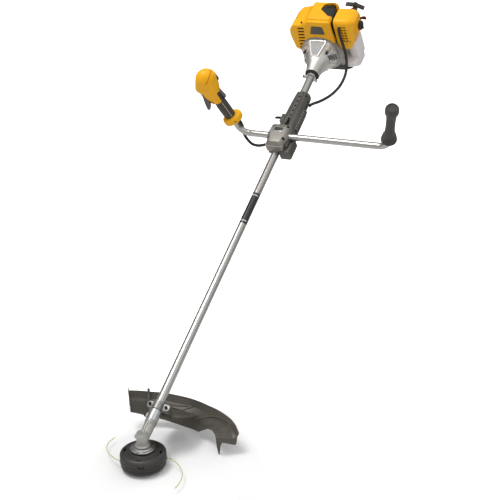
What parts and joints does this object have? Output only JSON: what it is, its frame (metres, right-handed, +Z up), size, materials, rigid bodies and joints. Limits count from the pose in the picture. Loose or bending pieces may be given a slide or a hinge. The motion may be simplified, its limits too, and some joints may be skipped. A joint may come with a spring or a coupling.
{
  "type": "string trimmer",
  "caption": "Petrol string trimmer: straight shaft, bull-horn handlebar with throttle grip, rear engine, bump-feed line head, curved guard and hip pad.",
  "frame": {"origin": "centre of the harness eye's hole, at mid thickness", "axes": "+X towards the operator's left hand, +Y from the trimmer head to the engine over the ground, +Z up, parallel to the head's spindle and to the harness eye's hole"},
  "size_m": [0.6783, 1.4522, 1.1692],
  "materials": {
    "yellow_shell": "moulded yellow plastic, semi-gloss",
    "dark_plastic": "dark grey moulded plastic, fine texture",
    "black_plastic": "black moulded plastic",
    "satin_tube": "satin anodised aluminium tube",
    "cast_metal": "die-cast aluminium, as cast",
    "bright_steel": "machined steel",
    "black_steel": "black oxide screws",
    "muffler_steel": "heat-darkened pressed steel",
    "soft_grip": "soft moulded rubber",
    "black_rubber": "black rubber",
    "tank_plastic": "translucent white blow-moulded plastic",
    "red_plastic": "dark red moulded plastic",
    "nylon_line": "pale yellow-green nylon",
    "rope": "braided rope",
    "filter_foam": "filter foam"
  },
  "bodies": {
    "shaft": {"gear_case": "cast_metal", "shaft_bearings": "bright_steel", "shaft_tube": "satin_tube", "guard_bracket": "cast_metal", "guard": "dark_plastic", "line_knife": "bright_steel", "hip_pad_upper": "dark_plastic", "hip_pad_lower": "dark_plastic", "harness_eye": "black_steel", "clamp_body": "black_plastic", "clamp_cap": "cast_metal", "handlebar": "satin_tube", "left_grip": "soft_grip", "throttle_shell_front": "yellow_shell", "throttle_shell_rear": "yellow_shell", "grip_insert": "soft_grip", "throttle_cable": "black_rubber", "socket_screws": "black_steel", "vibration_ring": "black_rubber", "clamp_collar": "bright_steel", "clutch_housing": "cast_metal", "crankcase": "cast_metal", "finned_cylinder": "cast_metal", "spark_plug": "bright_steel", "plug_boot": "black_rubber", "muffler": "muffler_steel", "carburettor": "cast_metal", "air_filter": "filter_foam", "air_cover": "yellow_shell", "main_shroud": "yellow_shell", "fuel_tank": "tank_plastic", "tank_stand": "black_plastic", "starter_housing": "black_plastic"},
    "head": {"head_base": "black_plastic", "head_cover": "dark_plastic", "trimmer_line": "nylon_line", "flange_disc": "bright_steel", "output_gear": "bright_steel"},
    "knob": {"bump_knob": "black_plastic", "head_spring": "bright_steel"},
    "spool": {"spool": "dark_plastic"},
    "drive": {"pinion": "bright_steel", "drive_shaft": "bright_steel", "clutch_drum": "bright_steel"},
    "crank": {"crankshaft": "bright_steel", "flywheel": "cast_metal", "clutch_shoes": "cast_metal"},
    "piston": {"piston": "bright_steel"},
    "rod": {"connecting_rod": "bright_steel"},
    "trigger": {"trigger": "dark_plastic"},
    "lockout": {"lockout_lever": "dark_plastic"},
    "stop_switch": {"stop_switch": "black_plastic"},
    "throttle_lever": {"throttle_lever": "bright_steel"},
    "choke": {"choke_lever": "red_plastic"},
    "primer": {"primer_bulb": "tank_plastic"},
    "pull_handle": {"starter_handle": "black_plastic", "starter_rope": "rope"},
    "pulley": {"starter_pulley": "black_plastic"},
    "fuel_cap": {"fuel_cap": "black_plastic"},
    "cover_knob": {"cover_knob": "black_plastic"}
  },
  "joints": [
    {"name": "head_spin", "type": "hinge", "parent": "shaft", "child": "head", "pos_m": [0.046, -0.96435, -0.72091], "axis": [0, 0, 1], "continuous": true},
    {"name": "drive_spin", "type": "hinge", "parent": "shaft", "child": "drive", "pos_m": [0.046, -0.96435, -0.72091], "axis": [0, 0.8049, 0.5934], "continuous": true},
    {"name": "bump_press", "type": "slide", "parent": "head", "child": "knob", "axis": [0, 0, 1], "range_m": [0, 0.005], "stiffness_N_per_m": 600, "springref_m": -0.01, "deforming": ["head_spring"]},
    {"name": "spool_turn", "type": "hinge", "parent": "knob", "child": "spool", "pos_m": [0.046, -0.96435, -0.72091], "axis": [0, 0, 1], "continuous": true},
    {"name": "crank_spin", "type": "hinge", "parent": "shaft", "child": "crank", "pos_m": [0.046, 0.32188, 0.22737], "axis": [0, 0.8049, 0.5934], "continuous": true},
    {"name": "piston_slide", "type": "slide", "parent": "shaft", "child": "piston", "axis": [0, -0.5934, 0.8049], "range_m": [-0.028, 0]},
    {"name": "rod_swing", "type": "hinge", "parent": "piston", "child": "rod", "pos_m": [0.046, 0.28271, 0.28049], "axis": [0, 0.8049, 0.5934], "range_deg": [-15.6, 15.6]},
    {"name": "trigger_squeeze", "type": "hinge", "parent": "shaft", "child": "trigger", "pos_m": [-0.16836, -0.21688, 0.11582], "axis": [0.4253, -0.7864, -0.448], "range_deg": [0, 16], "stiffness_Nm_per_rad": 0.6, "springref_deg": -20.05},
    {"name": "lockout_press", "type": "hinge", "parent": "shaft", "child": "lockout", "pos_m": [-0.12166, -0.19462, 0.12109], "axis": [-0.4253, 0.7864, 0.448], "range_deg": [0, 9], "stiffness_Nm_per_rad": 0.3, "springref_deg": -11.46},
    {"name": "stop_slide", "type": "slide", "parent": "shaft", "child": "stop_switch", "axis": [-0.2419, -0.5758, 0.781], "range_m": [0, 0.004]},
    {"name": "throttle_lever_turn", "type": "hinge", "parent": "shaft", "child": "throttle_lever", "pos_m": [0.11, 0.27369, 0.29273], "axis": [0, -0.5934, 0.8049], "range_deg": [0, 36]},
    {"name": "choke_turn", "type": "hinge", "parent": "shaft", "child": "choke", "pos_m": [0.138, 0.31368, 0.30084], "axis": [0, 0.8049, 0.5934], "range_deg": [0, 40]},
    {"name": "primer_press", "type": "slide", "parent": "shaft", "child": "primer", "axis": [0, -0.8049, -0.5934], "range_m": [0, 0.004], "stiffness_N_per_m": 400, "springref_m": -0.004},
    {"name": "starter_pull", "type": "slide", "parent": "shaft", "child": "pull_handle", "axis": [0.2588, -0.5732, 0.7775], "range_m": [0, 0.6], "stiffness_N_per_m": 4, "springref_m": -1},
    {"name": "starter_turn", "type": "hinge", "parent": "shaft", "child": "pulley", "pos_m": [0.046, 0.36453, 0.25882], "axis": [0, 0.8049, 0.5934], "range_deg": [-1600, 1600]},
    {"name": "fuel_cap_turn", "type": "hinge", "parent": "shaft", "child": "fuel_cap", "pos_m": [-0.044, 0.36015, 0.16365], "axis": [-1, 0, 0], "range_deg": [0, 540]},
    {"name": "cover_knob_turn", "type": "hinge", "parent": "shaft", "child": "cover_knob", "pos_m": [0.166, 0.26957, 0.2882], "axis": [1, 0, 0], "range_deg": [0, 720]}
  ],
  "couplings": [
    {"joint": "drive_spin", "follows": "head_spin", "ratio": 1.3333},
    {"joint": "throttle_lever_turn", "follows": "trigger_squeeze", "ratio": 2.2},
    {"joint": "starter_turn", "follows": "starter_pull", "rad_per_m": 45.455}
  ]
}
